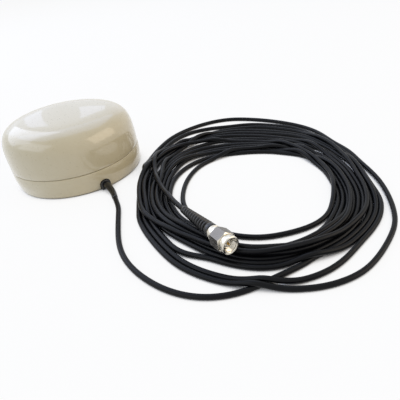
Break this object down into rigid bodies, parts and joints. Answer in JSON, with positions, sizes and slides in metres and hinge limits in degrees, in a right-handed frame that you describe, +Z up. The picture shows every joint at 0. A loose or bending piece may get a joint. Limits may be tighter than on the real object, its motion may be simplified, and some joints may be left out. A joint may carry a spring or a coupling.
{
  "type": "gps antenna",
  "caption": "Round puck antenna: ivory radome on a flat base with a rubber foot, and a thin black coaxial lead coiled beside it, ending in a booted screw-on plug with a hexagonal coupling nut.",
  "frame": {"origin": "middle of the rubber foot's underside, on the surface that the antenna stands on", "axes": "+Z up along the radome's axis; -Y is the side that the picture looks at; the lead leaves towards +X and -Y"},
  "size_m": [0.236, 0.1863, 0.04],
  "materials": {
    "housing_plastic": "glossy moulded ivory",
    "seal_rubber": "matte",
    "screw_steel": "zinc plated",
    "foot_rubber": "matte",
    "magnet": "nickel plated",
    "board": "solder resist over glass laminate",
    "adhesive": "foam tape",
    "ceramic": "fired ceramic",
    "contact_gold": "gold plated",
    "tinned_steel": "tinned sheet",
    "chip": "moulded epoxy",
    "grommet_plastic": "moulded flexible PVC",
    "cable_jacket": "satin extruded PVC",
    "plug_nickel": "nickel plated brass",
    "insulator": "PTFE",
    "boot_plastic": "moulded flexible PVC"
  },
  "bodies": {
    "root": {"radome": "housing_plastic", "base_housing": "housing_plastic", "seal_ring": "seal_rubber", "closing_screw_1": "screw_steel", "closing_screw_2": "screw_steel", "closing_screw_3": "screw_steel", "closing_screw_4": "screw_steel", "rubber_foot": "foot_rubber", "magnet_1": "magnet", "magnet_2": "magnet", "magnet_3": "magnet", "circuit_board": "board", "board_screw_1": "screw_steel", "board_screw_2": "screw_steel", "board_screw_3": "screw_steel", "patch_tape": "adhesive", "ceramic_patch": "ceramic", "feed_pin": "contact_gold", "shield_can": "tinned_steel", "amplifier_chip": "chip", "signal_filter": "chip", "cable_grommet": "grommet_plastic", "cord_inner": "cable_jacket", "cord_lead": "cable_jacket", "cord_coil": "cable_jacket", "cord_tail": "cable_jacket", "plug_body": "plug_nickel", "plug_insulator": "insulator", "plug_pin": "contact_gold", "retaining_ring": "screw_steel", "plug_gasket": "seal_rubber", "crimp_ferrule": "plug_nickel", "plug_boot": "boot_plastic"},
    "nut": {"coupling_nut": "plug_nickel"}
  },
  "joints": [
    {"name": "nut_spin", "type": "hinge", "parent": "root", "child": "nut", "pos_m": [0.1077, -0.1118, 0.01287], "axis": [0.5725, -0.8146, 0.0929], "continuous": true}
  ]
}
